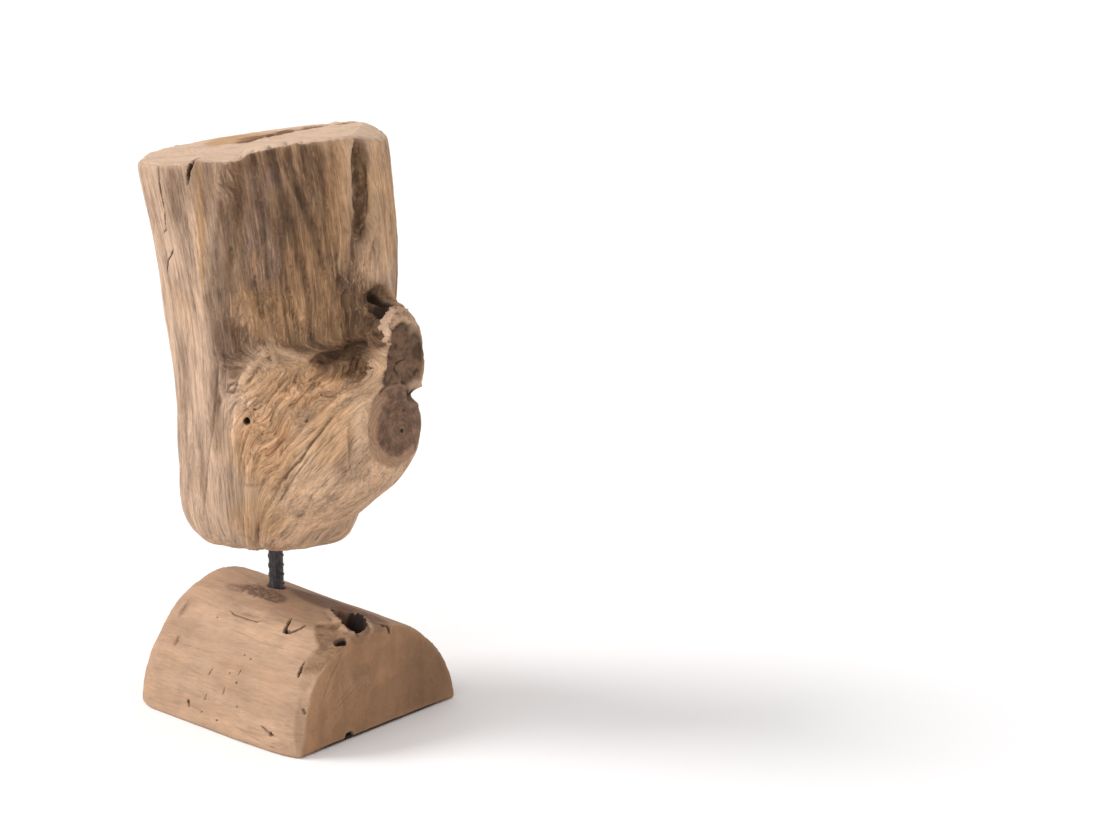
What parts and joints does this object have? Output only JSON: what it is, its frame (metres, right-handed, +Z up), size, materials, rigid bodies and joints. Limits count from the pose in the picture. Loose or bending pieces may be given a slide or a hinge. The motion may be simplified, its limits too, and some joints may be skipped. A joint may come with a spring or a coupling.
{
  "type": "piece of driftwood",
  "caption": "Worn, bark-free driftwood trunk section with a sawn branch stub, held upright by a ribbed steel bar in a half-round log base.",
  "frame": {"origin": "on the steel bar's axis, in the plane of the base log's flat underside", "axes": "+Z up along the bar; +X along the base log, towards the end on the branch stub's side; +Y away from the stub, across the log. The branch stub points towards +X and -Y."},
  "size_m": [0.2239, 0.1883, 0.4419],
  "materials": {
    "driftwood": "weathered and sanded, matt, no bark",
    "steel_bar": "dark ribbed reinforcing bar, dull",
    "base_log": "sanded, matt, with checks and worm holes"
  },
  "bodies": {
    "root": {"driftwood": "driftwood", "steel_bar": "steel_bar", "base_log": "base_log"}
  },
  "joints": []
}
